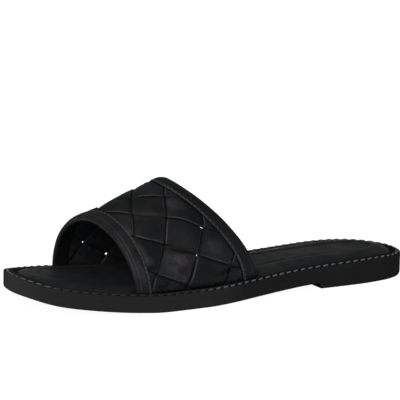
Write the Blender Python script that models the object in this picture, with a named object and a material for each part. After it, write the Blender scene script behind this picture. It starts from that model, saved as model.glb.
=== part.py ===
"""Left woven slide sandal: a moulded sole with a low heel, a stitched midsole rim, a padded insole
and one plaited strap with folded bindings. Metres, +X to the wearer's right, +Y to the toe, +Z up."""

import math

import bmesh
import bpy
import numpy as np

# Sole sizes
LENGTH = 0.252
BALL_WIDTH = 0.0870
HEEL_WIDTH = 0.0592
HEEL_LENGTH = 0.0696
HEEL_DRAFT = 0.0018
HEEL_RISE = 0.0044
TOE_SPRING = 0.0088
OUTSOLE_THICKNESS = 0.0057
OUTSOLE_EDGE = 0.0009
MIDSOLE_THICKNESS = 0.0035
MIDSOLE_EDGE = 0.0009
CLEARANCE = 0.0003
EDGE_SOFTNESS = 0.3

# Insole sizes
INSOLE_WALL = 0.0009
INSOLE_CROWN = 0.0015
INSOLE_SHOULDER = 0.0070

# Strap sizes
INSTEP_HEIGHT = 0.0629
VAMP_HEIGHT = 0.0447
STRAP_INSET = 0.0062
STRIP_WIDTH = 0.0177
STRIP_RELIEF = 0.0011
STRIP_EDGE = 0.0003
STRIP_CROWN = 0.45
EDGE_FALL = 0.25
WALL = 0.0020
BOUND_WALL = 0.0010
NODE_GAP = 0.0016
WEAVE_DEPTH = 0.0012
FOOT_GAP = 0.0004

# Binding sizes
FRONT_BINDING_WIDTH = 0.0088
REAR_BINDING_WIDTH = 0.0098
BINDING_LEATHER = 0.0007
BINDING_PROUD = 0.0003
BINDING_DOME = 0.0002
FOLD_DEPTH = 0.0016
SLOT_CLEARANCE = 0.0004
RELIEF_RUN = 0.0035

# Sole outline: share of LENGTH from the heel back, half widths to the little toe side and to the big
# toe side, as shares of the heel's width or of the ball's
OUTLINE = (
    ("share", "scale", "lateral", "medial"),
    (0.00, HEEL_WIDTH, 0.000, 0.000),
    (0.02, HEEL_WIDTH, 0.250, 0.262),
    (0.05, HEEL_WIDTH, 0.378, 0.372),
    (0.10, HEEL_WIDTH, 0.466, 0.448),
    (0.18, HEEL_WIDTH, 0.515, 0.483),
    (0.30, HEEL_WIDTH, 0.530, 0.455),
    (0.45, BALL_WIDTH, 0.424, 0.300),
    (0.60, BALL_WIDTH, 0.503, 0.397),
    (0.70, BALL_WIDTH, 0.511, 0.478),
    (0.76, BALL_WIDTH, 0.482, 0.494),
    (0.82, BALL_WIDTH, 0.436, 0.483),
    (0.88, BALL_WIDTH, 0.370, 0.450),
    (0.93, BALL_WIDTH, 0.291, 0.392),
    (0.97, BALL_WIDTH, 0.190, 0.280),
    (0.99, BALL_WIDTH, 0.105, 0.166),
    (1.00, BALL_WIDTH, 0.000, 0.000),
)

# Underside of the sole's plate: share of LENGTH, shares of HEEL_RISE and of TOE_SPRING
PLATE = (
    ("share", "heel", "toe"),
    (0.00, 0.73, 0.00),
    (0.12, 1.00, 0.00),
    (0.27, 0.78, 0.00),
    (0.40, 0.45, 0.00),
    (0.52, 0.10, 0.00),
    (0.62, 0.00, 0.00),
    (0.72, 0.00, 0.00),
    (0.78, 0.00, 0.07),
    (0.86, 0.00, 0.25),
    (0.93, 0.00, 0.48),
    (1.00, 0.00, 1.00),
)

# Padded edge of the insole: shares of INSOLE_SHOULDER inwards and of INSOLE_CROWN upwards
PADDING = (
    ("place", "inset", "rise"),
    ("wall", 0.00, 0.00),
    ("edge", 0.10, 0.35),
    ("shoulder", 0.35, 0.70),
    ("top", 1.00, 1.00),
)

# Last under the strap: share of LENGTH, ridge height from VAMP_HEIGHT (0) to INSTEP_HEIGHT (1), and
# the ridge's place as a share of BALL_WIDTH from the midline to the big toe side
LAST = (
    ("share", "height", "ridge"),
    (0.38, 1.00, 0.115),
    (0.54, 1.00, 0.115),
    (0.61, 1.00, 0.118),
    (0.66, 0.796, 0.120),
    (0.71, 0.466, 0.122),
    (0.76, 0.199, 0.125),
    (0.82, -0.103, 0.126),
    (0.88, -0.383, 0.130),
)

# Ends of the strap along the foot, as shares of LENGTH from the heel back
STRAP = (
    ("side", "rear", "front"),
    ("lateral", 0.450, 0.767),
    ("ridge", 0.592, 0.804),
    ("medial", 0.545, 0.834),
)
LATERAL_ROUNDNESS = 1.66
MEDIAL_ROUNDNESS = 2.30

# Weave nodes: rows as shares of the strap's depth from its rear edge, which close up towards the toe
# and droop to the rear near the feet, and places along the girth, which slant from row to row. The rows
# drift towards the toe from the lateral foot to the medial foot
FIRST_ROW = 0.1877
ROW_STEP = 0.2357
ROW_CLOSING = 0.0108
ROW_DROOP = 0.044
ROW_DRIFT = 0.119
DROOP_RUN = 0.0227
FIRST_NODE = 0.0097
NODE_SLANT = 0.0046
WEAVE_ROWS = range(-2, 5)
WEAVE_COLUMNS = range(-4, 12)
REAR_MOUTH = 0.10
FRONT_MOUTH = 0.86

# Mesh resolution, and the marks across a weave cell between its notched corners
SOLE_STATIONS = 40
CELL_MARKS = (0.27, 0.5, 0.73)
TURN_STEP = 0.01
BINDING_STATIONS = 52
FOLD_SIDES = 6
GIRTH_SAMPLES = 240


def column(table, name):
    """One column of a table whose first row names its columns."""
    place = table[0].index(name)
    return np.array([row[place] for row in table[1:]], float)


def smooth_curve(xs, ys, at):
    """A curve through the points that never overshoots them."""
    steps = np.diff(xs)
    slopes = np.diff(ys) / steps
    tangents = np.zeros(len(xs))
    for i in range(1, len(xs) - 1):
        if slopes[i - 1] * slopes[i] > 0:
            before = 2 * steps[i] + steps[i - 1]
            after = steps[i] + 2 * steps[i - 1]
            tangents[i] = (before + after) / (before / slopes[i - 1] + after / slopes[i])
    tangents[0] = slopes[0]
    tangents[-1] = slopes[-1]
    at = np.clip(at, xs[0], xs[-1])
    i = np.clip(np.searchsorted(xs, at) - 1, 0, len(xs) - 2)
    t = (at - xs[i]) / steps[i]
    low = ys[i] * (1 + 2 * t) * (1 - t) ** 2 + steps[i] * tangents[i] * t * (1 - t) ** 2
    high = ys[i + 1] * t**2 * (3 - 2 * t) + steps[i] * tangents[i + 1] * t**2 * (t - 1)
    return low + high


def swing(share):
    """Shares of the length as an angle, which keeps the heel and toe round."""
    return np.arccos(np.clip(1 - 2 * share, -1, 1))


OUTLINE_SWING = swing(column(OUTLINE, "share"))
LATERAL_WIDTHS = column(OUTLINE, "scale") * column(OUTLINE, "lateral")
MEDIAL_WIDTHS = column(OUTLINE, "scale") * column(OUTLINE, "medial")
SIDE_SHIFT = (LATERAL_WIDTHS.max() - MEDIAL_WIDTHS.max()) / 2
PLATE_HEIGHTS = HEEL_RISE * column(PLATE, "heel") + TOE_SPRING * column(PLATE, "toe")
RIDGE_HEIGHTS = VAMP_HEIGHT + (INSTEP_HEIGHT - VAMP_HEIGHT) * column(LAST, "height")
RIM = OUTSOLE_THICKNESS + CLEARANCE + MIDSOLE_THICKNESS
BOUND_RELIEF = 0.15
BINDING_SLOT = BOUND_WALL + BOUND_RELIEF * STRIP_RELIEF + 2 * SLOT_CLEARANCE
BINDING_MIDDLE = BINDING_PROUD - BINDING_LEATHER - BINDING_SLOT / 2
BINDING_INSIDE = BINDING_SLOT / 2 + BINDING_LEATHER - BINDING_MIDDLE
INSOLE_INSET = STRAP_INSET + BINDING_INSIDE + CLEARANCE


def share_of(y):
    return y / LENGTH + 0.5


def lateral_x(y):
    return SIDE_SHIFT - smooth_curve(OUTLINE_SWING, LATERAL_WIDTHS, swing(share_of(y)))


def medial_x(y):
    return SIDE_SHIFT + smooth_curve(OUTLINE_SWING, MEDIAL_WIDTHS, swing(share_of(y)))


def plate_z(y):
    """Underside of the sole's plate, which the heel block carries behind its breast."""
    return smooth_curve(column(PLATE, "share"), PLATE_HEIGHTS, share_of(y))


def sole_z(y):
    """Underside of the whole outsole, with the heel's flat seat and its breast."""
    breast = HEEL_LENGTH - LENGTH / 2
    return np.where(y <= breast, 0.0, plate_z(y))


def rim_z(y):
    return plate_z(y) + RIM


def sole_stations():
    """Places along the sole, close together at heel and toe, with two at the heel's breast."""
    breast = HEEL_LENGTH - LENGTH / 2
    turns = np.linspace(0, math.pi, SOLE_STATIONS + 1)
    places = -LENGTH / 2 * np.cos(turns)
    away = np.abs(places - breast - HEEL_DRAFT / 2) > 2 * HEEL_DRAFT
    return np.sort(np.append(places[away], (breast, breast + HEEL_DRAFT)))


def outline_ring(inset, stations):
    """Lateral and medial points of the outline, moved inwards by the inset, one pair a station."""
    inner = stations[1:-1]
    tips = np.array([(SIDE_SHIFT, stations[0]), (SIDE_SHIFT, stations[-1])])
    lateral = np.stack((lateral_x(inner), inner), -1)
    medial = np.stack((medial_x(inner), inner), -1)
    loop = np.concatenate((tips[:1], medial, tips[1:], lateral[::-1]))
    along = np.roll(loop, -1, 0) - np.roll(loop, 1, 0)
    along /= np.linalg.norm(along, axis=1)[:, None]
    return loop + inset * np.stack((-along[:, 1], along[:, 0]), -1)


def layered_solid(name, rings, colour, roughness):
    """A closed solid through rings of the sole's outline, from bottom to top, with laddered caps."""
    mesh = bmesh.new()
    layers = [[mesh.verts.new(point) for point in ring] for ring in rings]
    count = len(layers[0])
    for low, high in zip(layers, layers[1:]):
        for i in range(count):
            after = (i + 1) % count
            mesh.faces.new((low[i], low[after], high[after], high[i]))
    for layer, top in ((layers[0], False), (layers[-1], True)):
        for i in range(count // 2):
            far = (-i) % count
            corners = [layer[i], layer[i + 1], layer[far - 1], layer[far]]
            if i == 0:
                corners = [layer[0], layer[1], layer[count - 1]]
            if i == count // 2 - 1:
                corners = [layer[i], layer[i + 1], layer[far]]
            mesh.faces.new(corners if top else corners[::-1])
    return add_object(name, mesh, colour, roughness)


def add_object(name, mesh, colour, roughness):
    data = bpy.data.meshes.new(name)
    mesh.to_mesh(data)
    mesh.free()
    solid = bpy.data.objects.new(name, data)
    PARTS.objects.link(solid)
    finish = bpy.data.materials.new(name)
    finish.use_nodes = True
    surface = finish.node_tree.nodes["Principled BSDF"]
    surface.inputs["Base Color"].default_value = (*colour, 1.0)
    surface.inputs["Roughness"].default_value = roughness
    surface.inputs["Metallic"].default_value = 0.0
    data.materials.append(finish)
    data.shade_smooth()
    data.set_sharp_from_angle(angle=math.radians(35))
    return solid


def lifted(ring, heights):
    return np.column_stack((ring, heights))


def make_outsole():
    stations = sole_stations()
    edge = outline_ring(0.0, stations)
    tread = outline_ring(OUTSOLE_EDGE, stations)
    top = plate_z(edge[:, 1]) + OUTSOLE_THICKNESS
    rings = (
        lifted(tread, sole_z(edge[:, 1])),
        lifted(edge, sole_z(edge[:, 1]) + OUTSOLE_EDGE),
        lifted(edge, top),
    )
    return layered_solid("outsole", rings, (0.018, 0.018, 0.019), 0.65)


def make_midsole():
    stations = sole_stations()
    edge = outline_ring(0.0, stations)
    bevel = outline_ring(MIDSOLE_EDGE * EDGE_SOFTNESS, stations)
    rim = outline_ring(MIDSOLE_EDGE, stations)
    base = plate_z(edge[:, 1]) + OUTSOLE_THICKNESS + CLEARANCE
    rings = (
        lifted(edge, base),
        lifted(edge, base + MIDSOLE_THICKNESS - MIDSOLE_EDGE),
        lifted(bevel, base + MIDSOLE_THICKNESS - MIDSOLE_EDGE * EDGE_SOFTNESS),
        lifted(rim, base + MIDSOLE_THICKNESS),
    )
    return layered_solid("midsole", rings, (0.022, 0.021, 0.021), 0.55)


def make_insole():
    stations = sole_stations()
    edge = outline_ring(INSOLE_INSET, stations)
    base = rim_z(edge[:, 1]) + CLEARANCE
    rings = [lifted(edge, base)]
    for _, inset, rise in PADDING[1:]:
        inner = outline_ring(INSOLE_INSET + inset * INSOLE_SHOULDER, stations)
        rings.append(lifted(inner, rim_z(inner[:, 1]) + CLEARANCE + INSOLE_WALL + rise * INSOLE_CROWN))
    return layered_solid("insole", rings, (0.020, 0.019, 0.019), 0.42)


def strap_end(turn, end):
    """Place along the foot of the strap's rear or front edge, at a turn from lateral to medial foot."""
    lateral, ridge, medial = LENGTH * (column(STRAP, end) - 0.5)
    if end == "rear":
        blend = np.sin(turn) ** 2
    else:
        blend = 1 - np.abs(np.cos(turn))
    foot = np.where(turn < math.pi / 2, lateral, medial)
    return foot + (ridge - foot) * blend


def last_point(turn, reach):
    """A point of the strap's outer form: turn 0 at the lateral foot and pi at the medial foot, reach
    0 at the rear edge and 1 at the front edge."""
    y = (1 - reach) * strap_end(turn, "rear") + reach * strap_end(turn, "front")
    share = share_of(y)
    ridge = SIDE_SHIFT + BALL_WIDTH * smooth_curve(column(LAST, "share"), column(LAST, "ridge"), share)
    height = smooth_curve(column(LAST, "share"), RIDGE_HEIGHTS, share)
    foot_z = rim_z(y) + FOOT_GAP
    across = np.abs(np.cos(turn))
    up = np.abs(np.sin(turn))
    lateral = np.cos(turn) >= 0
    power = np.where(lateral, 2 / LATERAL_ROUNDNESS, 2 / MEDIAL_ROUNDNESS)
    foot_x = np.where(lateral, lateral_x(y) + STRAP_INSET, medial_x(y) - STRAP_INSET)
    x = ridge + (foot_x - ridge) * across**power
    z = foot_z + (height - foot_z) * up**power
    return np.stack((x, y, z), -1)


def strap_point(turn, reach, lift):
    """The same point, moved out from the foot by the lift."""
    low = np.clip(turn - TURN_STEP, 0, math.pi)
    high = np.clip(turn + TURN_STEP, 0, math.pi)
    along = last_point(high, reach) - last_point(low, reach)
    ahead = last_point(turn, reach + TURN_STEP) - last_point(turn, reach - TURN_STEP)
    out = np.cross(along, ahead)
    out /= np.linalg.norm(out, axis=-1, keepdims=True)
    out[..., 2] = np.where(np.abs(np.cos(turn)) > 0.999, 0.0, out[..., 2])
    return last_point(turn, reach) + np.asarray(lift)[..., None] * out


def strap_depth(turn):
    return strap_end(turn, "front") - strap_end(turn, "rear")


def girth_table():
    """Turns round the strap's middle, and the girth from the lateral foot to each."""
    turns = np.linspace(0, math.pi, GIRTH_SAMPLES)
    line = last_point(turns, np.full(GIRTH_SAMPLES, 0.5))
    girth = np.append(0, np.cumsum(np.linalg.norm(np.diff(line, axis=0), axis=1)))
    return turns, girth


def node_place(s, t, girth):
    """Flat place of a weave node: the girth to it, and the share of the strap's depth."""
    row = s + t
    node = FIRST_NODE + STRIP_WIDTH / math.sqrt(2) * (s - t)
    along = node - NODE_SLANT * (1 - 2 * node / girth) * row
    foot = max(0.0, 1 - min(along, girth - along) / DROOP_RUN)
    first = FIRST_ROW + ROW_DRIFT * along / girth - ROW_DROOP * foot**2
    return along, first + ROW_STEP * row - ROW_CLOSING * row**2


def strip_height(along, across):
    """Relief of the strip on top, from its middle (0) to its ends and edges (1)."""
    if abs(along) == 1:
        return -STRIP_RELIEF / 2
    dip = max(0.0, (abs(along) - STRIP_CROWN) / (1 - STRIP_CROWN))
    rise = 1 - dip**2 * (3 - 2 * dip)
    crown = (STRIP_RELIEF - STRIP_EDGE) * (1 - EDGE_FALL * abs(across) ** 6)
    return STRIP_EDGE + crown * rise - STRIP_RELIEF / 2


def flat_weave(girth):
    """The plait laid flat: x the girth, y the share of the depth, z the relief of the upper strip."""
    mesh = bmesh.new()
    notch = NODE_GAP / 2 / STRIP_WIDTH
    marks = (0.0, notch, *CELL_MARKS, 1 - notch, 1.0)
    last = len(marks) - 1
    cells = {}
    for row in WEAVE_ROWS:
        for s in WEAVE_COLUMNS:
            centre = node_place(s + 0.5, row - s + 0.5, girth)
            if -STRIP_WIDTH < centre[0] < girth + STRIP_WIDTH:
                cells[s, row - s] = {}
    for (s, t), grid in cells.items():
        lengthwise = (s + t) % 2 == 1
        for i, u in enumerate(marks):
            for k, v in enumerate(marks):
                if i in (0, last) and k in (0, last):
                    continue
                across, along = (2 * v - 1, 2 * u - 1) if lengthwise else (2 * u - 1, 2 * v - 1)
                x, y = node_place(s + u, t + v, girth)
                grid[i, k] = mesh.verts.new((x, y, strip_height(along, across)))
        for i in range(last):
            for k in range(last):
                corners = [(i, k), (i + 1, k), (i + 1, k + 1), (i, k + 1)]
                if all(corner in grid for corner in corners):
                    mesh.faces.new([grid[corner] for corner in corners])
    for (s, t), grid in cells.items():
        beside = cells.get((s + 1, t))
        ahead = cells.get((s, t + 1))
        for k in range(1, last - 1):
            if beside:
                mesh.faces.new((grid[last, k], beside[0, k], beside[0, k + 1], grid[last, k + 1]))
            if ahead:
                mesh.faces.new((grid[k + 1, last], ahead[k + 1, 0], ahead[k, 0], grid[k, last]))
    return mesh


def cut_flat(mesh, place, axis, keep_above):
    """Cuts the flat plait along a line and drops one side, or only scores it where both are kept."""
    point = [0.0, 0.0, 0.0]
    normal = [0.0, 0.0, 0.0]
    point[axis] = place
    normal[axis] = 1.0
    bmesh.ops.bisect_plane(
        mesh,
        geom=mesh.verts[:] + mesh.edges[:] + mesh.faces[:],
        dist=1e-6,
        plane_co=point,
        plane_no=normal,
        clear_inner=keep_above is True,
        clear_outer=keep_above is False,
    )


def depth_place(turn, share):
    """Distance from the strap's rear edge: the bindings keep their width, the plait takes the rest."""
    depth = strap_depth(turn)
    end = FOLD_DEPTH + SLOT_CLEARANCE
    return np.interp(share, (0, REAR_MOUTH, FRONT_MOUTH, 1), (
        end,
        REAR_BINDING_WIDTH,
        depth - FRONT_BINDING_WIDTH,
        depth - end,
    ))


def close_wall(mesh, inner_points):
    """Makes an open surface a closed wall, given the point behind each of its vertices."""
    faces = mesh.faces[:]
    rim = [edge.link_loops[0] for edge in mesh.edges if edge.is_boundary]
    behind = {vert: mesh.verts.new(point) for vert, point in zip(mesh.verts[:], inner_points)}
    for face in faces:
        mesh.faces.new([behind[vert] for vert in reversed(face.verts)])
    for loop in rim:
        start = loop.vert
        end = loop.link_loop_next.vert
        mesh.faces.new((end, start, behind[start], behind[end]))


def make_upper():
    turns, girths = girth_table()
    mesh = flat_weave(girths[-1])
    cut_flat(mesh, 0.0, 0, True)
    cut_flat(mesh, girths[-1], 0, False)
    cut_flat(mesh, 0.0, 1, True)
    cut_flat(mesh, 1.0, 1, False)
    cut_flat(mesh, REAR_MOUTH, 1, None)
    cut_flat(mesh, FRONT_MOUTH, 1, None)
    inner_points = []
    for vert in mesh.verts:
        girth, share, relief = vert.co
        turn = np.interp(girth, girths, turns)
        place = depth_place(turn, share)
        depth = strap_depth(turn)
        open_run = min(place - REAR_BINDING_WIDTH, depth - FRONT_BINDING_WIDTH - place)
        free = min(1.0, max(0.0, open_run / RELIEF_RUN))
        foot = min(1.0, min(girth, girths[-1] - girth) / (2 * RELIEF_RUN))
        shown = BOUND_RELIEF + (1 - BOUND_RELIEF) * free * foot
        middle = BINDING_MIDDLE + free * (-WEAVE_DEPTH - BINDING_MIDDLE) + shown * relief
        half = (BOUND_WALL + (WALL - BOUND_WALL) * free * (1 + foot) / 2) / 2
        vert.co = strap_point(turn, place / depth, middle + half)
        inner_points.append(strap_point(turn, place / depth, middle - half))
    close_wall(mesh, inner_points)
    bmesh.ops.recalc_face_normals(mesh, faces=mesh.faces[:])
    return add_object("upper", mesh, (0.020, 0.020, 0.021), 0.38)


def binding_profile(width):
    """Section of a folded binding: distance from its fold, and lift, once round."""
    outer = BINDING_PROUD
    inner = -BINDING_INSIDE
    fold = (outer - inner) / 2
    middle = (outer + inner) / 2
    slot_top = outer - BINDING_LEATHER
    slot_low = inner + BINDING_LEATHER
    bevel = BINDING_LEATHER * EDGE_SOFTNESS
    points = [(width, slot_top), (width, outer - bevel)]
    points.append((width - BINDING_LEATHER + bevel, outer))
    points.append((width / 2, outer + BINDING_DOME))
    for angle in np.linspace(0, math.pi, FOLD_SIDES + 1)[1:-1]:
        points.append((FOLD_DEPTH * (1 - math.sin(angle)), middle + fold * math.cos(angle)))
    points.append((width / 2, inner))
    points.append((width, inner))
    points.append((width, slot_low))
    points.append((FOLD_DEPTH, slot_low))
    points.append((FOLD_DEPTH, slot_top))
    return points


def make_binding(name, width, rear):
    """A strip of leather folded over one edge of the strap, from foot to foot."""
    mesh = bmesh.new()
    profile = binding_profile(width)
    sections = []
    for turn in np.linspace(0, math.pi, BINDING_STATIONS):
        depth = strap_depth(turn)
        ring = []
        for distance, lift in profile:
            reach = distance / depth if rear else 1 - distance / depth
            ring.append(mesh.verts.new(strap_point(turn, reach, lift)))
        sections.append(ring)
    count = len(profile)
    for before, after in zip(sections, sections[1:]):
        for i in range(count):
            following = (i + 1) % count
            mesh.faces.new((before[i], before[following], after[following], after[i]))
    mesh.faces.new(sections[0])
    mesh.faces.new(sections[-1][::-1])
    bmesh.ops.recalc_face_normals(mesh, faces=mesh.faces[:])
    return add_object(name, mesh, (0.022, 0.022, 0.023), 0.45)


for leftover in list(bpy.data.objects):
    bpy.data.objects.remove(leftover, do_unlink=True)

PARTS = bpy.data.collections.new("woven_slide_sandal")
bpy.context.scene.collection.children.link(PARTS)

make_outsole()
make_midsole()
make_insole()
make_upper()
make_binding("front_binding", FRONT_BINDING_WIDTH, False)
make_binding("rear_binding", REAR_BINDING_WIDTH, True)
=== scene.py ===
"""The left woven slide sandal, dressed for its studio picture: plaited leather strips, folded bindings,
a padded footbed, a stitched rim and a moulded sole. Metres: +X big toe side, +Y toe, +Z up."""

import math

import bmesh
import bpy
import numpy as np
from mathutils import Matrix, Vector


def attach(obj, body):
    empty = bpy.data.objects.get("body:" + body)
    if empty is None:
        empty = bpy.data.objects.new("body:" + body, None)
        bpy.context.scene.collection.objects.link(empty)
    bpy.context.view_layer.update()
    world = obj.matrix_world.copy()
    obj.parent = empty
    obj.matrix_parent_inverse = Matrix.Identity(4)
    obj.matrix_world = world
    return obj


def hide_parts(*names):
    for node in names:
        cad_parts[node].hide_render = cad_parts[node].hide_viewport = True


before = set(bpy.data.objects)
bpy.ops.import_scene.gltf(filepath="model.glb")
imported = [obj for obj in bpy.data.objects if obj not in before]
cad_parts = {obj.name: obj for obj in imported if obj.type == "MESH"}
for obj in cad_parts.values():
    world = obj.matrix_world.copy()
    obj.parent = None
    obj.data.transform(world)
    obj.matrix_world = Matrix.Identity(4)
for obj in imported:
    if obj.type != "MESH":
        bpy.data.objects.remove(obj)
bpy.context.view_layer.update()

# Sole sizes, as in the construction
LENGTH = 0.252
BALL_WIDTH = 0.0870
HEEL_WIDTH = 0.0592
HEEL_LENGTH = 0.0696
HEEL_DRAFT = 0.0018
HEEL_RISE = 0.0044
TOE_SPRING = 0.0088
OUTSOLE_THICKNESS = 0.0057
MIDSOLE_THICKNESS = 0.0035
CLEARANCE = 0.0003
RIM = OUTSOLE_THICKNESS + CLEARANCE + MIDSOLE_THICKNESS
BREAST = HEEL_LENGTH - LENGTH / 2

# Eased edges of the sole: insets and rises at the tread and at the joint, and the board's roundness
TREAD_EDGE = ((0.0011, 0.0), (0.0007, 0.0001), (0.0003, 0.0004), (0.0, 0.0011))
JOINT_EDGE = ((0.00003, 0.00013), (0.0006, 0.00014))
BOARD_EDGE = 0.0008
BOARD_INNER = 0.0062
# Run over which the painted shade ahead of the heel's breast fades
BREAST_SHADE = 0.008

# Strap sizes, as in the construction
INSTEP_HEIGHT = 0.0629
VAMP_HEIGHT = 0.0447
STRAP_INSET = 0.0062
STRIP_WIDTH = 0.0177
WEAVE_DEPTH = 0.0012
FOOT_GAP = 0.0004
FRONT_BINDING_WIDTH = 0.0088
REAR_BINDING_WIDTH = 0.0098
BINDING_LEATHER = 0.0007
BINDING_PROUD = 0.0003
BINDING_DOME = 0.0005
FOLD_DEPTH = 0.0016
SLOT_CLEARANCE = 0.0004
BINDING_END = FOLD_DEPTH + SLOT_CLEARANCE
BOUND_WALL = 0.0010
STRIP_RELIEF = 0.0011
BOUND_RELIEF = 0.15
BINDING_SLOT = BOUND_WALL + BOUND_RELIEF * STRIP_RELIEF + 2 * SLOT_CLEARANCE
BINDING_MIDDLE = BINDING_PROUD - BINDING_LEATHER - BINDING_SLOT / 2
BINDING_INSIDE = BINDING_SLOT / 2 + BINDING_LEATHER - BINDING_MIDDLE
LATERAL_ROUNDNESS = 1.66
MEDIAL_ROUNDNESS = 2.30

# Plait: node rows as shares of the strap's depth, and places along its girth
FIRST_ROW = 0.1877
ROW_STEP = 0.2357
ROW_CLOSING = 0.0108
ROW_DROOP = 0.044
ROW_DRIFT = 0.119
DROOP_RUN = 0.0227
FIRST_NODE = 0.0097
NODE_SLANT = 0.0046
FIRST_WEAVE_ROW = -2
LAST_WEAVE_ROW = 4
REAR_MOUTH = 0.10
FRONT_MOUTH = 0.86

# Leather of the strips, and the runs over which they rise clear of the bindings and of the rim
STRIP_LEATHER = 0.0012
STRIP_LIFT = 0.00085
STRIP_CROWN = 0.00042
STRIP_GAP = 0.00090
STRIP_ROLL = 0.00022
STRIP_SINK = 0.0002
STRIP_ARCH = 3.2
CROSSING_SHADE_REACH = 0.065
ROLL_PLACE = 0.92
ROLL_WIDTH = 0.055
# Painted highlight along the strips' long edges: where it starts across the strip, and its run
HIGHLIGHT_START = 0.945
HIGHLIGHT_RUN = 0.045
EDGE_WANDER = 0.00030
EDGE_SQUARENESS = 12
BOUND_LEATHER = 0.5
LOW_RELIEF = 0.4
STRIP_TONES = 0.3
BINDING_RUN = 0.0018
RIM_RUN = 0.0050
BINDING_LIP = 0.0026
LIP_WIDTH = 0.00045
LIP_DEPTH = 0.00014
RIDGE_PLACE = 0.0006
RIDGE_WIDTH = 0.0003
RIDGE_RISE = 0.00006
BINDING_DENT = 0.00022
BINDING_WANDER = 0.00018
BINDING_SWELL = 0.00010
BINDING_PUCKER = 0.00005
# Painted shade on the rear binding; the front one a little paler, with a painted highlight near its lateral
# foot: place and width in turns, and strength
REAR_BINDING_SHADE = -0.7
FRONT_BINDING_PALENESS = 0.1
FRONT_FOOT = (0.36, 0.20)
FRONT_FOOT_HIGHLIGHT = 0.9

# Footbed, and the hollows that the foot has pressed into it
INSOLE_INSET = STRAP_INSET + BINDING_INSIDE + CLEARANCE
INSOLE_WALL = 0.0009
INSOLE_CROWN = 0.0015
INSOLE_SKIRT = 0.0030
INSOLE_SHOULDER = 0.0070
INSOLE_BEAD = 0.0003
BEAD_WIDTH = 0.0012
VALLEY_PLACE = 0.0030
VALLEY_WIDTH = 0.0018
BED_RUN = 0.012
SKIRT_LIFT = 0.00005
# Painted shade on the footbed's wall, and a paler bed
WALL_SHADE = -0.2
BED_RUB = 0.12
# Painted highlight along the bead and painted shade in the valley behind it: place beyond the shoulder, width
# and strength
BEAD_HIGHLIGHT = (0.0, 0.0010, 1.7)
VALLEY_SHADOW = (0.0026, 0.0012, 0.4)
FOOTBED_HOLLOWS = (("y", "reach", "depth"), (-0.088, 0.030, 0.0007), (0.045, 0.040, 0.0005))
FOOTBED_SHARES = (
    0.02, 0.06, 0.12, 0.2, 0.3, 0.42, 0.56, 0.7, 0.8, 0.87, 0.93, 1.0, 1.07, 1.14, 1.22, 1.32, 1.45, 1.6
)

# Stitches along the rim and the bindings
STITCH_INPUTS = ("Pitch", "Length", "Width", "Height", "Slant", "Unevenness")
RIM_STITCH = (0.0053, 0.0043, 0.0015, 0.0012, math.radians(15), 0.08)
RIM_STITCH_INSET = 0.0021
RIM_STITCH_LIFT = 0.00005
BINDING_STITCH = (0.0028, 0.0026, 0.00055, 0.00045, 0.0, 0.05)
BINDING_STITCH_PITCH = BINDING_STITCH[0]
BINDING_STITCH_INSET = 0.0009
BINDING_STITCH_LIFT = 0.00002
DENT_WIDTH = 0.0006
CHANNEL_DEPTH = 0.0006
CHANNEL_HALF = 0.0010
CHANNEL_PLACES = (-1.0, -0.6, -0.25, 0.25, 0.6, 1.0)

# Sole outline: share of LENGTH, and half widths as shares of the heel's or the ball's width
OUTLINE = (
    ("share", "scale", "lateral", "medial"),
    (0.00, HEEL_WIDTH, 0.000, 0.000),
    (0.02, HEEL_WIDTH, 0.250, 0.262),
    (0.05, HEEL_WIDTH, 0.378, 0.372),
    (0.10, HEEL_WIDTH, 0.466, 0.448),
    (0.18, HEEL_WIDTH, 0.515, 0.483),
    (0.30, HEEL_WIDTH, 0.530, 0.455),
    (0.45, BALL_WIDTH, 0.424, 0.300),
    (0.60, BALL_WIDTH, 0.503, 0.397),
    (0.70, BALL_WIDTH, 0.511, 0.478),
    (0.76, BALL_WIDTH, 0.482, 0.494),
    (0.82, BALL_WIDTH, 0.436, 0.483),
    (0.88, BALL_WIDTH, 0.370, 0.450),
    (0.93, BALL_WIDTH, 0.291, 0.392),
    (0.97, BALL_WIDTH, 0.190, 0.280),
    (0.99, BALL_WIDTH, 0.105, 0.166),
    (1.00, BALL_WIDTH, 0.000, 0.000),
)

# Underside of the sole's plate: shares of HEEL_RISE and of TOE_SPRING
PLATE = (
    ("share", "heel", "toe"),
    (0.00, 0.73, 0.00),
    (0.12, 1.00, 0.00),
    (0.27, 0.78, 0.00),
    (0.40, 0.45, 0.00),
    (0.52, 0.10, 0.00),
    (0.62, 0.00, 0.00),
    (0.72, 0.00, 0.00),
    (0.78, 0.00, 0.07),
    (0.86, 0.00, 0.25),
    (0.93, 0.00, 0.48),
    (1.00, 0.00, 1.00),
)

# Last under the strap: ridge height from VAMP_HEIGHT to INSTEP_HEIGHT, and its place across the foot
LAST = (
    ("share", "height", "ridge"),
    (0.38, 1.00, 0.115),
    (0.54, 1.00, 0.115),
    (0.61, 1.00, 0.118),
    (0.66, 0.796, 0.120),
    (0.71, 0.466, 0.122),
    (0.76, 0.199, 0.125),
    (0.82, -0.103, 0.126),
    (0.88, -0.383, 0.130),
)

# Ends of the strap along the foot, as shares of LENGTH
STRAP = (
    ("side", "rear", "front"),
    ("lateral", 0.450, 0.767),
    ("ridge", 0.592, 0.804),
    ("medial", 0.545, 0.834),
)

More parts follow.
